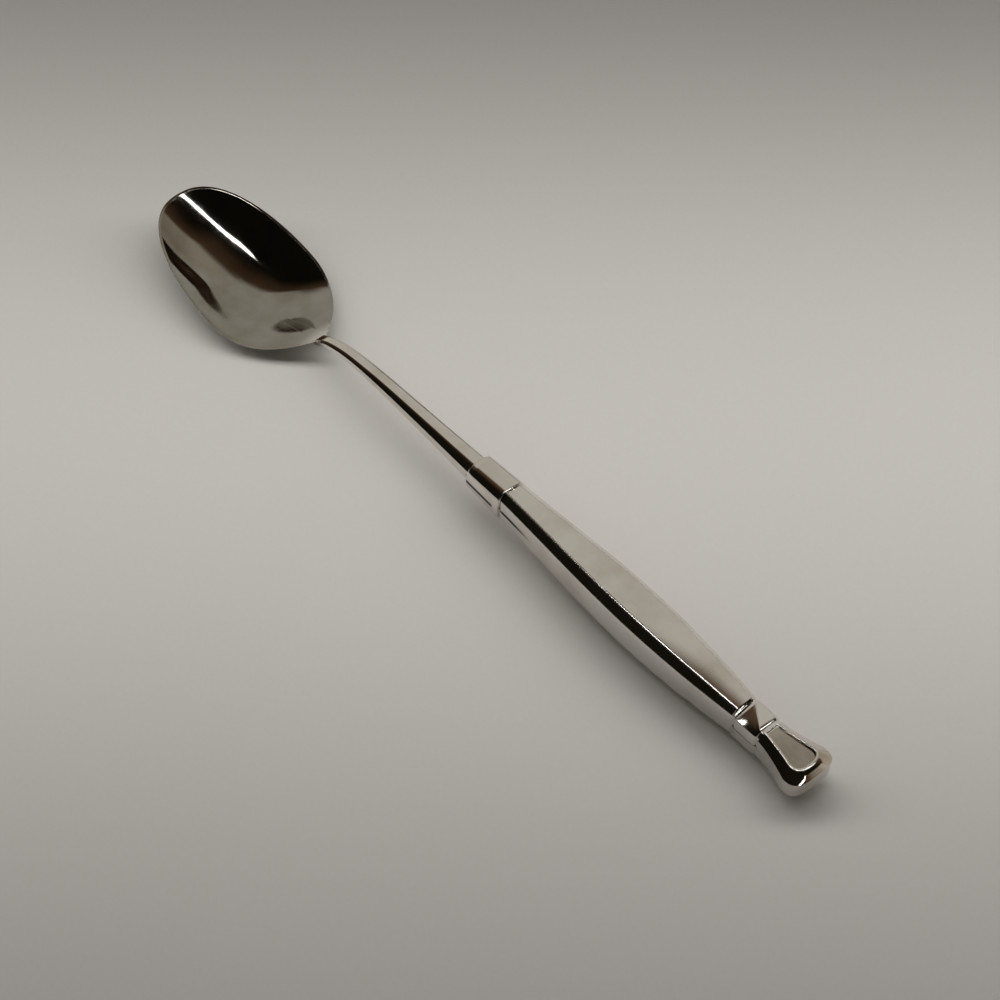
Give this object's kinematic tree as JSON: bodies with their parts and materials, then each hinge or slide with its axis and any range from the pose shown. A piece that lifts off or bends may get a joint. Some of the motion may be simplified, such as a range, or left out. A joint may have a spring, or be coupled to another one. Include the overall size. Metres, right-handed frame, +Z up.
{
  "type": "iced tea spoon",
  "caption": "Long-handled iced tea spoon: a pointed oval bowl on a slim faceted stem, held in a hollow faceted handle with a collar, a small block and a flared butt.",
  "frame": {"origin": "middle of the footprint, on the table that the spoon lies on", "axes": "+X from the bowl to the butt, +Y across, +Z up out of the bowl"},
  "size_m": [0.1996, 0.0294, 0.0133],
  "materials": {
    "forging": "mirror-polished warm silver",
    "collar": "mirror-polished warm silver",
    "upper_shell": "mirror-polished warm silver",
    "lower_shell": "mirror-polished warm silver",
    "braze": "tarnished brazed line",
    "solder": "dull soft solder",
    "cement": "matt set filler"
  },
  "bodies": {
    "root": {"bowl_and_stem": "forging", "ferrule": "collar", "handle_upper_shell": "upper_shell", "handle_lower_shell": "lower_shell", "handle_seam_braze": "braze", "mouth_solder": "solder", "ferrule_solder": "solder", "handle_cement": "cement"}
  },
  "joints": []
}
